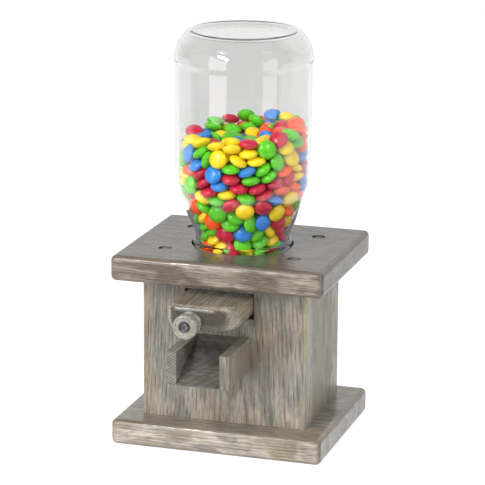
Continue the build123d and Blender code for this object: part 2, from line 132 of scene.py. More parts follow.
sky = world.node_tree
path = sky.nodes.new("ShaderNodeLightPath")
sky_place = sky.nodes.new("ShaderNodeTexCoord")
sky_parts = sky.nodes.new("ShaderNodeSeparateXYZ")
sky.links.new(sky_place.outputs["Generated"], sky_parts.inputs[0])
sweep = link_step(sky, sky_parts.outputs["Y"], 0.05, 0.60, room_gloss, 1.0)
lit_only = link_math(sky, "GREATER_THAN", path.outputs["Diffuse Depth"], 0.5)
sky_seen = seen_as_background(sky, sweep)
before_matt = link_math(sky, "SUBTRACT", 1.0, lit_only)
any_gloss = link_math(sky, "MULTIPLY", path.outputs["Is Glossy Ray"], before_matt)
taken = link_math(sky, "MAXIMUM", any_gloss, link_math(sky, "CEIL", sky_seen))
neither = link_math(sky, "SUBTRACT", 1.0, taken)
sky_strength = link_math(sky, "ADD", sky_seen, link_math(sky, "MULTIPLY", neither, sky_light))
sky.links.new(sky_strength, sky.nodes["Background"].inputs["Strength"])
sky.nodes["Background"].inputs["Color"].default_value = (1, 1, 1, 1)

bpy.ops.mesh.primitive_plane_add(size=30.0)
floor = bpy.context.object
floor.name = "studio_floor"
floor_paint = bpy.data.materials.new("pale_floor")
floor_paint.use_nodes = True
paint = floor_paint.node_tree
paint.nodes.remove(paint.nodes["Principled BSDF"])
matt = paint.nodes.new("ShaderNodeBsdfDiffuse")
matt.inputs["Color"].default_value = (floor_albedo, floor_albedo, floor_albedo, 1)
glow = paint.nodes.new("ShaderNodeEmission")
floor_place = paint.nodes.new("ShaderNodeTexCoord")
floor_parts = paint.nodes.new("ShaderNodeSeparateXYZ")
paint.links.new(floor_place.outputs["Object"], floor_parts.inputs[0])
floor_sweep = link_step(paint, floor_parts.outputs["Y"], -0.40, -0.10)
floor_seen = seen_as_background(paint, floor_sweep)
glow_level = link_math(paint, "MULTIPLY", floor_seen, 1.0 - sky_light * floor_albedo)
paint.links.new(glow_level, glow.inputs["Strength"])
both = paint.nodes.new("ShaderNodeAddShader")
paint.links.new(matt.outputs[0], both.inputs[0])
paint.links.new(glow.outputs[0], both.inputs[1])
dim_room = paint.nodes.new("ShaderNodeEmission")
dim_room.inputs["Strength"].default_value = room_gloss
far_gloss = link_math(paint, "MULTIPLY", reflected(paint), link_math(paint, "SUBTRACT", 1.0, floor_sweep))
ends = paint.nodes.new("ShaderNodeMixShader")
paint.links.new(far_gloss, ends.inputs[0])
paint.links.new(both.outputs[0], ends.inputs[1])
paint.links.new(dim_room.outputs[0], ends.inputs[2])
paint.links.new(ends.outputs[0], paint.nodes["Material Output"].inputs["Surface"])
floor.data.materials.append(floor_paint)


def window_pane(name, azimuth, distance, height, size, radiance):
    """Hang a softly lit pane of a window round the object, facing the middle of the jar."""
    angle = math.radians(azimuth)
    place = Vector((math.sin(angle) * distance, -math.cos(angle) * distance, height))
    bpy.ops.object.light_add(type="AREA", location=place)
    pane = bpy.context.object
    pane.name = name
    pane.data.shape = "RECTANGLE"
    pane.data.size, pane.data.size_y = size
    pane.data.energy = radiance * math.pi * size[0] * size[1]
    pane.rotation_euler = (Vector((0, 0, 0.25)) - place).to_track_quat("-Z", "Y").to_euler()
    pane.visible_camera = False
    pane.visible_transmission = False
    return pane


window_pane("left_window", -26.0, 0.85, 0.325, (0.47, 0.56), 4.4)
window_pane("left_skylight", -26.0, 0.85, 0.90, (0.34, 0.40), 3.6)
window_pane("left_strip", -18.5, 0.80, 0.62, (0.26, 0.018), 90.0)
window_pane("left_lamp", -24.0, 0.80, 0.76, (0.045, 0.045), 300.0)
window_pane("right_window", 60.0, 0.85, 0.325, (0.38, 0.56), 3.0)
window_pane("right_skylight", 60.0, 0.85, 0.90, (0.32, 0.40), 2.4)
window_pane("right_lamp", 56.0, 0.80, 0.76, (0.045, 0.045), 180.0)

# Base board: one piece of open-grained hardwood, its edges rounded over, with a grey-brown
# stain that stays dark in the pores, under a clear coat. Screws hold it from below.
mm = 0.001


def link_mix(tree, share, first, second, blend="MIX"):
    """Add a colour Mix node and return its output."""
    node = tree.nodes.new("ShaderNodeMix")
    node.data_type = "RGBA"
    node.blend_type = blend
    for socket, value in ((node.inputs[0], share), (node.inputs[6], first), (node.inputs[7], second)):
        if isinstance(value, (int, float)):
            socket.default_value = value
        elif isinstance(value, tuple):
            socket.default_value = (*value, 1)
        else:
            tree.links.new(value, socket)
    return node.outputs[2]


def link_noise(tree, place, scale, detail=2.0, roughness=0.5):
    """Add a Noise texture, with a scale of its own for each axis, and return its value."""
    stretch = tree.nodes.new("ShaderNodeMapping")
    stretch.inputs["Scale"].default_value = scale
    tree.links.new(place, stretch.inputs["Vector"])
    noise = tree.nodes.new("ShaderNodeTexNoise")
    noise.inputs["Scale"].default_value = 1.0
    noise.inputs["Detail"].default_value = detail
    noise.inputs["Roughness"].default_value = roughness
    tree.links.new(stretch.outputs[0], noise.inputs["Vector"])
    return noise.outputs["Fac"]


def tone(red, green, blue):
    """A linear colour from the 0 to 255 values that it shows as."""
    def linear(value):
        share = value / 255.0
        return share / 12.92 if share <= 0.04045 else ((share + 0.055) / 1.055) ** 2.4
    return (linear(red), linear(green), linear(blue))


def stained_wood(name, grain, heart, seed, body, pale, warm, cool, dark, ring=2.3, taper=0.03, line=0.5,
                 upright_tone_and_light=None, end=1.0, gloss=0.7, end_line=0.70, corner=None, foot=None):
    """One cut of stained wood.

    grain is the axis that the tree grew along, heart where its centre lies across that axis, in
    mm, ring a year's mean growth in mm, and taper how much the rings widen along the grain. The
    stain is body, with pale, warm and cool patches, and dark in the pores. line is how strongly
    the rings show, and end_line the same on end grain. upright_tone_and_light is the colour of a
    board's upright faces, where it differs: painted light that shows them lighter than the flat
    faces, with some tan of their own on the top board. corner is the colour of its rounded edges,
    a painted highlight and reflection. foot is that of the last 30 mm above the base. end is how
    light the end grain is, and gloss the weight of the coat.
    """
    material = bpy.data.materials.new(name)
    material.use_nodes = True
    tree = material.node_tree
    surface = tree.nodes["Principled BSDF"]
    coordinates = tree.nodes.new("ShaderNodeTexCoord")
    parts = tree.nodes.new("ShaderNodeSeparateXYZ")
    tree.links.new(coordinates.outputs["Object"], parts.inputs[0])
    across = [axis for axis in "XYZ" if axis != grain]
    place = tree.nodes.new("ShaderNodeCombineXYZ")
    shifts = (-heart[0], -heart[1], seed * 137.0)
    for index, axis, shift in zip(range(3), (*across, grain), shifts):
        in_mm = link_math(tree, "MULTIPLY", parts.outputs[axis], 1.0 / mm)
        tree.links.new(link_math(tree, "ADD", in_mm, shift), place.inputs[index])
    spot = place.outputs[0]
    facing = tree.nodes.new("ShaderNodeSeparateXYZ")
    tree.links.new(coordinates.outputs["Normal"], facing.inputs[0])
    end_grain = link_step(tree, link_math(tree, "ABSOLUTE", facing.outputs[grain]), 0.55, 0.95)

    # Rings about the heart, bent by slow waves and made uneven by quicker ones
    flat = tree.nodes.new("ShaderNodeVectorMath")
    flat.operation = "MULTIPLY"
    flat.inputs[1].default_value = (1, 1, 0)
    tree.links.new(spot, flat.inputs[0])
    length = tree.nodes.new("ShaderNodeVectorMath")
    length.operation = "LENGTH"
    tree.links.new(flat.outputs[0], length.inputs[0])
    split = tree.nodes.new("ShaderNodeSeparateXYZ")
    tree.links.new(spot, split.inputs[0])
    lean = link_math(tree, "MULTIPLY", split.outputs[2], taper)
    sway = link_math(tree, "MULTIPLY", link_noise(tree, spot, (0.020, 0.020, 0.006), 1.0), 14.0)
    jitter = link_math(tree, "MULTIPLY", link_noise(tree, spot, (0.22, 0.22, 0.020), 2.0), 1.4)
    radius = link_math(tree, "ADD", link_math(tree, "ADD", length.outputs["Value"], lean),
                       link_math(tree, "ADD", sway, jitter))
    season = link_math(tree, "FRACT", link_math(tree, "DIVIDE", radius, ring))
    early = link_step(tree, season, 0.0, 0.45, 1.0, 0.0)
    spring = link_math(tree, "MAXIMUM", early, link_step(tree, season, 0.90, 1.0))

    # Open pores: short dark dashes along the grain, thickest in the spring wood, and pale flecks
    dashes = link_step(tree, link_noise(tree, spot, (1.00, 1.00, 0.060), 2.0, 0.6), 0.50, 0.59)
    specks = link_step(tree, link_noise(tree, spot, (2.2, 2.2, 0.22), 1.0), 0.55, 0.66)
    flecks = link_step(tree, link_noise(tree, spot, (0.90, 0.90, 0.055), 2.0, 0.6), 0.52, 0.61)
    in_spring = link_math(tree, "ADD", link_math(tree, "MULTIPLY", spring, 0.6), 0.4)
    pores = link_math(tree, "MULTIPLY", dashes, in_spring)
    pores = link_math(tree, "MAXIMUM", pores, link_math(tree, "MULTIPLY", specks, 0.5))
    fibre = link_noise(tree, spot, (1.5, 1.5, 0.07), 3.0, 0.65)
    streak = link_noise(tree, spot, (0.30, 0.30, 0.012), 3.0, 0.6)
    blotch = link_noise(tree, spot, (0.050, 0.050, 0.024), 3.0, 0.6)
    cloud = link_noise(tree, spot, (0.09, 0.09, 0.035), 3.0, 0.6)

    wander = link_noise(tree, spot, (0.045, 0.045, 0.02), 2.0)
    # Painted light: upright faces take their own lighter colour, as if lit more than the flat faces.
    if upright_tone_and_light is not None:
        level = link_math(tree, "ABSOLUTE", facing.outputs["Z"])
        upright = link_step(tree, level, 0.25, 0.75, 1.0, 0.0)
        body = link_mix(tree, upright, body, upright_tone_and_light)
    if foot is not None:
        height = link_math(tree, "MULTIPLY", parts.outputs["Z"], 1.0 / mm)
        height = link_math(tree, "ADD", height, link_math(tree, "MULTIPLY", wander, 40.0))
        low = link_step(tree, height, 42.0, 78.0, 0.85, 0.0)
        body = link_mix(tree, low, body, foot)
        pale = link_mix(tree, low, pale, foot)
    stain = link_mix(tree, link_step(tree, streak, 0.36, 0.68, 0.0, 0.8), body, pale)
    stain = link_mix(tree, link_step(tree, blotch, 0.50, 0.64, 0.0, 0.90), stain, warm)
    stain = link_mix(tree, link_step(tree, blotch, 0.36, 0.48, 0.90, 0.0), stain, cool)
    stain = link_mix(tree, link_math(tree, "MULTIPLY", flecks, 0.50), stain, pale)
    ring_show = link_step(tree, end_grain, 0.0, 1.0, 0.50 * line, end_line)
    stain = link_mix(tree, link_math(tree, "MULTIPLY", spring, ring_show), stain, dark)
    stain = link_mix(tree, link_math(tree, "MULTIPLY", pores, 0.62), stain, dark)
    # Painted reflection: rounded edges, whose normals lean between the axes, take a colour of their own, as
    # highlights and reflections would give them.
    if corner is not None:
        squarest = link_math(tree, "ABSOLUTE", facing.outputs["X"])
        for axis in "YZ":
            squarest = link_math(tree, "MAXIMUM", squarest, link_math(tree, "ABSOLUTE", facing.outputs[axis]))
        stain = link_mix(tree, link_step(tree, squarest, 0.86, 0.99, 0.65, 0.0), stain, corner)
    shade = link_math(tree, "MULTIPLY", link_step(tree, fibre, 0.25, 0.75, 0.80, 1.20),
                      link_step(tree, cloud, 0.30, 0.70, 0.80, 1.16))
    shade = link_math(tree, "MULTIPLY", shade, link_step(tree, end_grain, 0.0, 1.0, 1.0, end))
    grey = tree.nodes.new("ShaderNodeCombineColor")
    for socket in grey.inputs[:3]:
        tree.links.new(shade, socket)
    tree.links.new(link_mix(tree, 1.0, stain, grey.outputs[0], "MULTIPLY"), surface.inputs["Base Color"])

    tree.links.new(link_step(tree, pores, 0.0, 1.0, 0.42, 0.60), surface.inputs["Roughness"])
    surface.inputs["Specular IOR Level"].default_value = 0.3
    surface.inputs["Coat Weight"].default_value = gloss
    surface.inputs["Coat Roughness"].default_value = 0.13
    surface.inputs["Coat IOR"].default_value = 1.5
    relief = link_math(tree, "SUBTRACT", link_math(tree, "MULTIPLY", fibre, 0.35), pores)
    for depth, socket in ((0.14 * mm, "Normal"), (0.06 * mm, "Coat Normal")):
        bump = tree.nodes.new("ShaderNodeBump")
        bump.inputs["Distance"].default_value = depth
        bump.inputs["Strength"].default_value = 0.7
        tree.links.new(relief, bump.inputs["Height"])
        tree.links.new(bump.outputs[0], surface.inputs[socket])
    return material


def finish_node(node, material):
    """Give a CAD node its finish."""
    if not nodes[node].material_slots:
        nodes[node].data.materials.append(material)
    for slot in nodes[node].material_slots:
        slot.material = material


stain_body = tone(133, 127, 117)
stain_pale = tone(160, 153, 144)
stain_warm = tone(154, 141, 122)
stain_cool = tone(128, 127, 121)
stain_dark = tone(66, 60, 52)
# Painted light: the base's upright faces are painted far lighter than its top, and its rounded edges browner,
# a painted reflection.
finish_node("base_board", stained_wood(
    "base_wood", "X", (20.0, -150.0), 1, tone(130, 121, 106), tone(152, 142, 126), tone(140, 123, 101),
    tone(124, 119, 108), stain_dark, 2.0, 0.02, upright_tone_and_light=tone(210, 200, 186), end=0.54, end_line=0.75,
    corner=tone(122, 108, 90)))

# Box: four boards of the same wood with upright grain, glued into a frame, the front and back
# ones notched at the top for the slide. Screws from the base and the top hold it.
# Painted highlight: the rounded corners of the front and back boards are painted tan.
finish_node("front_board", stained_wood(
    "front_wood", "Z", (12.0, -14.0), 3,
    stain_body, stain_pale, stain_warm, stain_cool, stain_dark, 2.6, 0.05,
    gloss=0.3, corner=tone(176, 160, 122), foot=tone(174, 162, 146)))
finish_node("back_board", stained_wood(
    "back_wood", "Z", (-16.0, 18.0), 4, stain_body, stain_pale, stain_warm, stain_cool, stain_dark, 2.6, 0.05,
    gloss=0.3, corner=tone(176, 160, 122)))
side_body = tone(126, 120, 105)
side_pale = tone(140, 133, 117)
side_warm = tone(132, 121, 101)
side_cool = tone(120, 117, 105)
finish_node("left_side_board", stained_wood(
    "left_side_wood", "Z", (-30.0, 90.0), 5,
    side_body, side_pale, side_warm, side_cool, stain_dark, 2.2, 0.02, 0.3,
    gloss=0.15))
finish_node("right_side_board", stained_wood(
    "right_side_wood", "Z", (30.0, -90.0), 6,
    side_body, side_pale, side_warm, side_cool, stain_dark, 2.2, 0.02, 0.3,
    gloss=0.15))

# Inside the box: the bed and two rails that the slide runs in and the feed plate above it,
# plain strips of the same wood, glued between the boards.
inner_wood = stained_wood(
    "inner_wood", "Y", (30.0, 40.0), 7, stain_body, stain_pale, stain_warm, stain_cool, stain_dark)
for node in ("feed_plate", "slide_bed", "left_guide_rail", "right_guide_rail"):
    finish_node(node, inner_wood)

# Portion slide: a rounded bar of the wood with a pocket for a few candies, browner on top
# than on its end-grain front, which takes more stain. A dowel in its side stops it in a groove
# of the left rail.
slide_wood = stained_wood(
    "slide_wood", "Y", (-40.0, 170.0), 8, tone(142, 131, 112), tone(170, 158, 136), tone(164, 142, 110),
    tone(122, 118, 108), stain_dark, 2.2, 0.02, end=0.24, gloss=1.0, end_line=0.08)
finish_node("slide_bar", slide_wood)
finish_node("stop_pin", slide_wood)

# Knob: turned from a dowel of the wood, with a flange against the slide, a neck, and a round
# head dished round a recess for its screw, under a thicker coat.
knob_low, knob_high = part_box("knob")
knob_x = (knob_low.x + knob_high.x) / 2
knob_z = (knob_low.z + knob_high.z) / 2
knob_face_y = knob_low.y
knob_back_y = knob_high.y


def turned(name, profile, segments):
    """Turn a profile of (radius, height) points about the Z axis, ring by ring."""
    first_r, first_z = profile[0]
    bpy.ops.object.select_all(action="DESELECT")
    bpy.ops.mesh.primitive_circle_add(vertices=segments, radius=first_r, location=(0, 0, first_z))
    piece = bpy.context.object
    piece.name = name
    piece.data.name = name
    bpy.ops.object.transform_apply(location=True)
    bpy.ops.object.mode_set(mode="EDIT")
    bpy.ops.mesh.select_all(action="SELECT")
    last_r, last_z = first_r, first_z
    for ring_r, ring_z in profile[1:]:
        bpy.ops.mesh.extrude_region_move(TRANSFORM_OT_translate={"value": (0, 0, ring_z - last_z)})
        if abs(ring_r - last_r) > 1e-7:
            share = ring_r / last_r
            bpy.ops.transform.resize(value=(share, share, 1), center_override=(0, 0, ring_z))
        last_r, last_z = ring_r, ring_z
    bpy.ops.object.mode_set(mode="OBJECT")
    return piece


def close_turned(piece, joined=False):
    """Fill the open ends of a turned shape, or join them round a bore, and face it outwards."""
    bpy.ops.object.mode_set(mode="EDIT")
    bpy.ops.mesh.select_all(action="DESELECT")
    bpy.ops.mesh.select_mode(type="EDGE")
    bpy.ops.mesh.select_non_manifold()
    if joined:
        bpy.ops.mesh.bridge_edge_loops()
    else:
        bpy.ops.mesh.edge_face_add()
    bpy.ops.mesh.select_all(action="SELECT")
    bpy.ops.mesh.normals_make_consistent(inside=False)
    bpy.ops.object.mode_set(mode="OBJECT")
    bpy.ops.object.shade_smooth_by_angle(angle=math.radians(35.0))
    return piece


def rounded(corners, steps=5):
    """Round a run of (radius, height, corner radius) points, and return its points."""
    points = [corners[0][:2]]
    for before, corner, after in zip(corners[:-2], corners[1:-1], corners[2:]):
        here = Vector(corner[:2])
        back = (Vector(before[:2]) - here).normalized()
        ahead = (Vector(after[:2]) - here).normalized()
        half = back.angle(ahead) / 2
        if corner[2] == 0:
            points.append(corner[:2])
            continue
        centre = here + (back + ahead).normalized() * corner[2] / math.sin(half)
        start = here + back * corner[2] / math.tan(half) - centre
        sweep_angle = start.angle_signed(here + ahead * corner[2] / math.tan(half) - centre)
        for step in range(steps + 1):
            spoke = start.copy()
            spoke.rotate(Matrix.Rotation(-sweep_angle * step / steps, 2))
            points.append(tuple(centre + spoke))
    points.append(corners[-1][:2])
    return points


knob_length = knob_back_y - knob_face_y
knob_profile = rounded([
    (1.9 * mm, 0.0, 0),
    (8.5 * mm, 0.0, 0.4 * mm),
    (8.5 * mm, 3.0 * mm, 1.0 * mm),
    (6.2 * mm, 3.5 * mm, 1.0 * mm),
    (6.2 * mm, knob_length - 7.9 * mm, 1.0 * mm),
    (9.0 * mm, knob_length - 7.0 * mm, 1.6 * mm),
    (9.0 * mm, knob_length, 2.0 * mm),
    (7.2 * mm, knob_length, 0.4 * mm),
    (6.6 * mm, knob_length - 0.5 * mm, 0.5 * mm),
    (5.6 * mm, knob_length - 0.2 * mm, 0.4 * mm),
    (4.4 * mm, knob_length - 0.3 * mm, 0.4 * mm),
    (4.3 * mm, knob_length - 3.4 * mm, 0.3 * mm),
    (1.9 * mm, knob_length - 3.4 * mm, 0),
], 4)
turned_knob = close_turned(turned("turned_knob", knob_profile, 64), joined=True)
turned_knob.rotation_euler = (math.radians(90.0), 0, 0)
turned_knob.location = (knob_x, knob_back_y, knob_z)
bpy.ops.object.transform_apply()
turned_knob.data.materials.append(stained_wood(
    "knob_wood", "Y", (knob_x / mm, knob_z / mm), 9,
    tone(136, 131, 124), tone(170, 165, 158), tone(144, 134, 120),
    tone(118, 117, 114), stain_dark, 1.4, 0.02, gloss=1.0, end_line=0.15))
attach(turned_knob, "slide")
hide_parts("knob")

# Chute: two short walls and a wedge of darker wood between them, glued on the front board and
# screwed from inside.
finish_node("chute_ramp", stained_wood(
    "ramp_wood", "X", (-40.0, 20.0), 10, tone(98, 96, 92), tone(116, 113, 108), tone(104, 98, 90),
    tone(90, 91, 90), tone(44, 42, 39), 2.6, 0.30))
finish_node("chute_left_wall", stained_wood(
    "left_wall_wood", "Y", (20.0, 20.0), 11, tone(126, 121, 113), tone(152, 147, 139), tone(136, 122, 102),
    tone(122, 122, 118), stain_dark, 1.8, 0.02, 0.9))
finish_node("chute_right_wall", stained_wood(
    "right_wall_wood", "Z", (60.0, -20.0), 12, tone(130, 121, 104), tone(146, 138, 124), tone(144, 125, 96),
    tone(126, 123, 114), stain_dark, 2.0, 0.02, 0.4))

# Top board: like the base, with a hole for the jar and a counterbored screw at each corner
# under a domed plug, a little proud, whose chamfered rim shades dark.
# Painted light: the top board's upright faces are painted lighter than its top, partly their own tan; its
# rounded edges are painted browner, a painted reflection.
finish_node("top_board", stained_wood(
    "top_wood", "X", (60.0, -60.0), 2, tone(88, 82, 74), tone(106, 100, 91), tone(100, 88, 75),
    tone(84, 81, 76), tone(46, 42, 37), 1.7, 0.02,
    upright_tone_and_light=tone(162, 146, 131), end=0.50, gloss=0.62, end_line=0.85,
    corner=tone(118, 102, 86)))
plug_low, plug_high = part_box("top_plugs")
plug_r = 4.9 * mm
plug_x = plug_high.x - plug_r
plug_y = plug_high.y - plug_r
plug_profile = rounded([
    (0.4 * mm, plug_low.z, 0),
    (plug_r, plug_low.z, 0),
    (plug_r, plug_high.z - 1.7 * mm, 0),
    (plug_r - 1.3 * mm, plug_high.z - 0.45 * mm, 1.2 * mm),
    (1.6 * mm, plug_high.z, 3.0 * mm),
    (0.3 * mm, plug_high.z, 0),
], 4)
plugs = []
for side_x, side_y in ((-1, -1), (1, -1), (-1, 1), (1, 1)):
    plug = close_turned(turned("plug", plug_profile, 32))
    plug.location = (side_x * plug_x, side_y * plug_y, 0)
    bpy.ops.object.transform_apply()
    plugs.append(plug)
for plug in plugs:
    plug.select_set(True)
bpy.ops.object.join()
domed_plugs = bpy.context.object
domed_plugs.name = "domed_plugs"
domed_plugs.data.name = "domed_plugs"
domed_plugs.data.materials.append(stained_wood(
    "plug_wood", "X", (10.0, 60.0), 13, tone(66, 63, 59), tone(84, 81, 76), tone(70, 64, 57),
    tone(60, 60, 59), tone(34, 32, 29), 1.6, 0.02, gloss=0.6))
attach(domed_plugs, "housing")
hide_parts("top_plugs")


# Screws, band and lid: zinc-plated wood screws, and the bright band and lid of the jar, which
# sit in the top board's hole on the feed plate.
def plated_steel(name, colour, roughness):
    """Plated steel with a fine, uneven polish."""
    material = bpy.data.materials.new(name)
    material.use_nodes = True
    tree = material.node_tree
    surface = tree.nodes["Principled BSDF"]
    coordinates = tree.nodes.new("ShaderNodeTexCoord")
    haze = link_noise(tree, coordinates.outputs["Object"], (900.0, 900.0, 900.0), 3.0)
    surface.inputs["Metallic"].default_value = 1.0
    tree.links.new(link_mix(tree, haze, colour, tuple(0.7 * c for c in colour)), surface.inputs["Base Color"])
    tree.links.new(
        link_math(tree, "ADD", link_math(tree, "MULTIPLY", haze, 0.2), roughness),
        surface.inputs["Roughness"])
    return material


screw_steel = plated_steel("screw_steel", (0.30, 0.30, 0.30), 0.34)
for node in ("knob_screw", "chute_screws", "top_screws", "base_screws", "lid_screws"):
    finish_node(node, screw_steel)
band_steel = plated_steel("band_steel", (0.50, 0.50, 0.49), 0.25)
finish_node("jar_band", band_steel)
finish_node("lid_disc", band_steel)

# Jar: clear glass blown in a mould, standing on its mouth. Its wall is one closed shell from
# the lip up over the heel and the push-up and back down the inside. It screws into the band.
jar_low, jar_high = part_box("jar")
lip_z = jar_low.z
jar_top = jar_high.z
glass_wall = 2.2 * mm
finish_r = 33.4 * mm
bead_r = 36.6 * mm
bead_bottom = lip_z + 15.6 * mm
bead_top = lip_z + 20.0 * mm
neck_r = 34.6 * mm
neck_top = bead_top + 4.6 * mm
shoulder_top = neck_top + 35.2 * mm
body_r = 49.6 * mm
heel_r = jar_high.x
crest_r = 39.6 * mm
inner_r = body_r - glass_wall
pole_r = 0.4 * mm


def inset(corners, depth):
    """The corners of the line that lies a depth inside a run of corners."""
    inner = []
    for index, (r, z, fillet) in enumerate(corners):
        before = Vector(corners[max(index - 1, 0)][:2])
        after = Vector(corners[min(index + 1, len(corners) - 1)][:2])
        here = Vector((r, z))
        ahead = (after - here if index + 1 < len(corners) else here - before).normalized()
        behind = (here - before if index else after - here).normalized()
        inward = Vector((behind.y, -behind.x)) + Vector((ahead.y, -ahead.x))
        shift = inward * (depth * 2 / inward.length_squared)
        bend = behind.x * ahead.y - behind.y * ahead.x
        rounder = fillet + math.copysign(depth, bend) if abs(bend) > 1e-6 and fillet else fillet
        inner.append((here.x + shift.x, here.y + shift.y, max(rounder, 0.5 * mm) if fillet else 0))
    inner[0] = (corners[0][0], inner[0][1], inner[0][2])
    return inner


jar_upper = [
    (pole_r, jar_top - 2.6 * mm, 0),
    (crest_r - 8.1 * mm, jar_top - 2.6 * mm, 8.0 * mm),
    (crest_r, jar_top + 0.75 * mm, 4.5 * mm),
    (crest_r + 2.6 * mm, jar_top - 1.5 * mm, 5.0 * mm),
    (heel_r - 2.7 * mm, jar_top - 8.2 * mm, 7.0 * mm),
    (heel_r, jar_top - 16.5 * mm, 12.0 * mm),
    (heel_r, jar_top - 21.5 * mm, 4.0 * mm),
    (body_r, jar_top - 25.0 * mm, 4.0 * mm),
    (body_r, shoulder_top, 30.0 * mm),
    (neck_r, neck_top, 3.0 * mm),
    (neck_r, bead_top, 0.4 * mm),
]
jar_lower = [
    (bead_r, bead_top, 1.9 * mm),
    (bead_r, bead_bottom, 1.9 * mm),
    (finish_r, bead_bottom, 0.4 * mm),
    (finish_r, lip_z, 0.8 * mm),
    (31.8 * mm, lip_z, 0.6 * mm),
    (neck_r - glass_wall, bead_top, 4.0 * mm),
]
jar_inner = inset(jar_upper, glass_wall)[:-1]
jar_profile = rounded(jar_upper + jar_lower + jar_inner[::-1], 6)
jar_glass = close_turned(turned("jar_glass", jar_profile, 144))
bpy.ops.object.shade_smooth()


def clear_glass(name, colour):
    """Clear glass, slightly uneven as blown glass is, tinted a little where light crosses it."""
    material = bpy.data.materials.new(name)
    material.use_nodes = True
    tree = material.node_tree
    surface = tree.nodes["Principled BSDF"]
    surface.inputs["Base Color"].default_value = (*colour, 1)
    surface.inputs["Roughness"].default_value = 0.0
    surface.inputs["IOR"].default_value = 1.5
    surface.inputs["Transmission Weight"].default_value = 1.0
    coordinates = tree.nodes.new("ShaderNodeTexCoord")
    wave = link_noise(tree, coordinates.outputs["Object"], (26.0, 26.0, 9.0), 1.0)
    bump = tree.nodes.new("ShaderNodeBump")
    bump.inputs["Distance"].default_value = 0.2 * mm
    bump.inputs["Strength"].default_value = 0.2
    tree.links.new(wave, bump.inputs["Height"])
    tree.links.new(bump.outputs[0], surface.inputs["Normal"])
    open_way = tree.nodes.new("ShaderNodeBsdfTransparent")
    open_way.inputs["Color"].default_value = (0.96, 0.96, 0.96, 1)
    path = tree.nodes.new("ShaderNodeLightPath")
    lets_light_in = tree.nodes.new("ShaderNodeMixShader")
    tree.links.new(path.outputs["Is Shadow Ray"], lets_light_in.inputs[0])
    tree.links.new(surface.outputs[0], lets_light_in.inputs[1])
    tree.links.new(open_way.outputs[0], lets_light_in.inputs[2])
    tree.links.new(lets_light_in.outputs[0], tree.nodes["Material Output"].inputs["Surface"])
    return material


jar_glass.data.materials.append(clear_glass("outer_glass", (0.90, 0.90, 0.895)))
jar_glass.data.materials.append(clear_glass("inner_glass", (0.785, 0.785, 0.78)))
for face in jar_glass.data.polygons:
    ring_r = math.hypot(face.center.x, face.center.y)
    if face.normal.x * face.center.x + face.normal.y * face.center.y < -0.2 * ring_r:
        face.material_index = 1
    elif face.normal.z < -0.7 and face.center.z > jar_top - 12.0 * mm:
        face.material_index = 1
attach(jar_glass, "jar")
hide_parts("jar")

# Candies: over five hundred sugar-shelled chocolate lentils in five colours, poured into the
# jar and left to settle, a little higher at the back and right.
candy_r = 6.9
candy_half = 3.5
candy_count = 528
layer_height = 9.0
ring_width = 12.0
candy_room = 13.0
close_by = 16.0
push_strength = 0.75
way_trials = 7
push_rounds = 3
fast_drop = 0.32
slow_drop = 0.03
flatness = candy_half ** 2 - candy_r ** 2
spin_ease = (candy_r ** 2 + candy_half ** 2) / 5.0
pour_steps = 330
draw = random.Random(11)
wall_gap = 0.25
well_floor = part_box("candy_fill")[0].z / mm
well_neck_r = (neck_r - glass_wall) / mm - wall_gap - 0.6
well_body_r = inner_r / mm - wall_gap
well_neck_z = neck_top / mm
well_body_z = shoulder_top / mm
well_slope = math.atan2(well_body_r - well_neck_r, well_body_z - well_neck_z)

spots = []
axes = []
height = well_floor + 5.0
while len(spots) < candy_count:
    share = min(max((height - well_neck_z) / (well_body_z - well_neck_z), 0.0), 1.0)
    ring = well_neck_r + share * (well_body_r - well_neck_r) - 5.0
    facing_glass = 5.0
    while ring > 2.0 and len(spots) < candy_count:
        around = int(2 * math.pi * ring / candy_room)
        start = draw.uniform(0, 2 * math.pi)
        for step in range(around):
            angle = start + 2 * math.pi * step / around
            spots.append((ring * math.cos(angle), ring * math.sin(angle), height + draw.uniform(-2.5, 2.5)))
            axes.append((
                draw.gauss(facing_glass * math.cos(angle), 1),
                draw.gauss(facing_glass * math.sin(angle), 1),
                draw.gauss(0, 1),
            ))
        ring -= ring_width
        facing_glass = 0.0
    height += layer_height
centres = np.array(spots[:candy_count])
axes = np.array(axes[:candy_count])
axes /= np.sqrt((axes * axes).sum(axis=1))[:, None]


def reach_along(axis, way):
    """How far a candy reaches from its centre along a direction, and the point that does."""
    lean = (axis * way).sum(axis=1)
    reach = np.sqrt(candy_r ** 2 + flatness * lean * lean)
    point = (candy_r ** 2 * way + (flatness * lean)[:, None] * axis) / reach[:, None]
    return reach, point


def push_apart(first, second):
    """Part the pairs of candies that overlap, each moved and turned by its share."""
    gap = centres[second] - centres[first]
    way = gap / np.sqrt((gap * gap).sum(axis=1))[:, None]
    deepest = None
    for trial in range(way_trials):
        reach_a, point_a = reach_along(axes[first], way)
        reach_b, point_b = reach_along(axes[second], way)
        overlap = reach_a + reach_b - (gap * way).sum(axis=1)
        if deepest is None:
            deepest, best, arm_a, arm_b = overlap, way, point_a, -point_b
        else:
            better = overlap < deepest
            deepest = np.where(better, overlap, deepest)
            best = np.where(better[:, None], way, best)
            arm_a = np.where(better[:, None], point_a, arm_a)
            arm_b = np.where(better[:, None], -point_b, arm_b)
        way = way - 0.07 * (point_a + point_b - gap)
        way = way / np.sqrt((way * way).sum(axis=1))[:, None]
    touching = deepest > 0
    one, two, best = first[touching], second[touching], best[touching]
    twist_a = np.cross(arm_a[touching], best)
    twist_b = np.cross(arm_b[touching], best)
    weight = 2.0 + ((twist_a * twist_a).sum(axis=1) + (twist_b * twist_b).sum(axis=1)) / spin_ease
    push = (push_strength * deepest[touching] / weight)[:, None]
    for bodies, sign, twist in ((one, -1.0, twist_a), (two, 1.0, twist_b)):
        for index in range(3):
            shift = sign * push[:, 0]
            centres[:, index] += np.bincount(bodies, shift * best[:, index], candy_count)
            turns[:, index] += np.bincount(bodies, shift * twist[:, index] / spin_ease, candy_count)


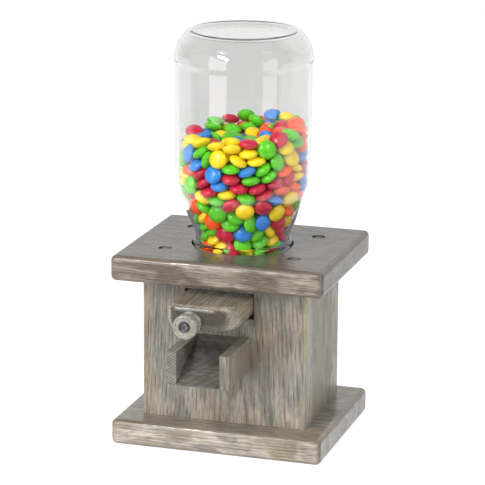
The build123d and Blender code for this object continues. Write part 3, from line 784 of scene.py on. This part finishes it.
def keep_inside():
    """Push the candies back from the wall of the jar and from its lid."""
    radius = np.sqrt(centres[:, 0] ** 2 + centres[:, 1] ** 2) + 1e-9
    outward = np.stack((centres[:, 0] / radius, centres[:, 1] / radius, np.zeros(candy_count)), axis=1)
    below_neck = np.zeros(candy_count, dtype=bool)
    for wall_r, wall_z, slope, part in (
            (well_neck_r, well_neck_z, 0.0, "neck"),
            (well_neck_r, well_neck_z, well_slope, "shoulder"),
            (well_body_r - 0.5, well_body_z, well_slope / 2, "bend"),
            (well_body_r, well_body_z, 0.0, "body")):
        way = outward * math.cos(slope) - np.array((0.0, 0.0, math.sin(slope)))
        reach, point = reach_along(axes, way)
        over = (radius - wall_r) * math.cos(slope) - (centres[:, 2] - wall_z) * math.sin(slope) + reach
        if part == "neck":
            below_neck = centres[:, 2] + point[:, 2] < wall_z
            over = np.where(below_neck, over, 0.0)
        elif part == "shoulder":
            over = np.where(below_neck, 0.0, over)
        over = np.maximum(over, 0.0)
        twist = np.cross(point, way)
        push = over / (1.0 + (twist * twist).sum(axis=1) / spin_ease)
        centres[:] -= push[:, None] * way
        turns[:] -= (push / spin_ease)[:, None] * twist
    down = np.zeros((candy_count, 3))
    down[:, 2] = -1.0
    reach, point = reach_along(axes, down)
    over = np.maximum(well_floor - centres[:, 2] + reach, 0.0)
    twist = np.cross(point, down)
    push = over / (1.0 + (twist * twist).sum(axis=1) / spin_ease)
    centres[:] -= push[:, None] * down
    turns[:] -= (push / spin_ease)[:, None] * twist


lean_right = 0.11
lean_back = 0.05
level_back = -Vector((camera_back.x, camera_back.y, 0)).normalized()
pull = np.array(lean_right * level_right + lean_back * level_back - Vector((0, 0, 1)))
firsts, seconds = np.triu_indices(candy_count, 1)
for step in range(pour_steps):
    if step % 4 == 0:
        apart = centres[seconds] - centres[firsts]
        near = (apart * apart).sum(axis=1) < close_by ** 2
        near_first, near_second = firsts[near], seconds[near]
    if step < 0.60 * pour_steps:
        drop = fast_drop
    elif step < 0.90 * pour_steps:
        drop = slow_drop
    else:
        drop = 0.0
    centres += drop * pull
    for round_again in range(push_rounds):
        turns = np.zeros((candy_count, 3))
        push_apart(near_first, near_second)
        keep_inside()
        axes += np.cross(turns, axes)
        axes /= np.sqrt((axes * axes).sum(axis=1))[:, None]

bpy.ops.object.select_all(action="DESELECT")
bpy.ops.mesh.primitive_uv_sphere_add(segments=16, ring_count=6, radius=1.0)
candy_form = bpy.context.object
candy_form.name = "candy_form"
bpy.ops.object.mode_set(mode="EDIT")
bpy.ops.mesh.select_all(action="SELECT")
bpy.ops.transform.resize(value=(candy_r * mm, candy_r * mm, candy_half * mm))
bpy.ops.object.mode_set(mode="OBJECT")
bpy.ops.object.shade_smooth()
places = []
for centre, axis in zip(centres, axes):
    facing_way = Vector(axis).to_track_quat("Z", "Y").to_matrix().to_4x4()
    places.append(Matrix.Translation(Vector(centre) * mm) @ facing_way)

shell_colours = {
    "green": (tone(92, 204, 22), 28),
    "red": (tone(200, 10, 58), 18),
    "orange": (tone(255, 88, 12), 16),
    "yellow": (tone(255, 222, 12), 20),
    "blue": (tone(44, 134, 222), 18),
}


def sugar_shell(name, colour):
    """A thin polished sugar shell, a little uneven from candy to candy."""
    material = bpy.data.materials.new(name)
    material.use_nodes = True
    tree = material.node_tree
    surface = tree.nodes["Principled BSDF"]
    island = tree.nodes.new("ShaderNodeNewGeometry")
    coordinates = tree.nodes.new("ShaderNodeTexCoord")
    speckle = link_noise(tree, coordinates.outputs["Object"], (700.0, 700.0, 700.0), 3.0)
    paler = tuple(0.94 * c + 0.02 for c in colour)
    deeper = tuple(0.80 * c for c in colour)
    shell = link_mix(tree, island.outputs["Random Per Island"], deeper, colour)
    shell = link_mix(tree, link_step(tree, speckle, 0.45, 0.8, 0.0, 0.5), shell, paler)
    tree.links.new(shell, surface.inputs["Base Color"])
    surface.inputs["Roughness"].default_value = 0.26
    surface.inputs["Specular IOR Level"].default_value = 0.9
    bump = tree.nodes.new("ShaderNodeBump")
    bump.inputs["Distance"].default_value = 0.05 * mm
    bump.inputs["Strength"].default_value = 0.3
    tree.links.new(speckle, bump.inputs["Height"])
    tree.links.new(bump.outputs[0], surface.inputs["Normal"])
    return material


mix = [name for name, (colour, share) in shell_colours.items() for repeat in range(share)]
candy_colours = [mix[index % len(mix)] for index in range(candy_count)]
draw.shuffle(candy_colours)
for colour_name, (colour, share) in shell_colours.items():
    bpy.ops.object.select_all(action="DESELECT")
    batch = []
    for place, candy_colour in zip(places, candy_colours):
        if candy_colour != colour_name:
            continue
        one = bpy.data.objects.new("candy", candy_form.data.copy())
        one.data.transform(place)
        scene.collection.objects.link(one)
        one.select_set(True)
        batch.append(one)
    bpy.context.view_layer.objects.active = batch[0]
    bpy.ops.object.join()
    heap = bpy.context.object
    heap.name = f"candies_{colour_name}"
    heap.data.name = heap.name
    heap.data.materials.clear()
    heap.data.materials.append(sugar_shell(f"{colour_name}_shell", colour))
    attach(heap, "jar_contents")
    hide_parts("candy_fill")
bpy.data.objects.remove(candy_form)
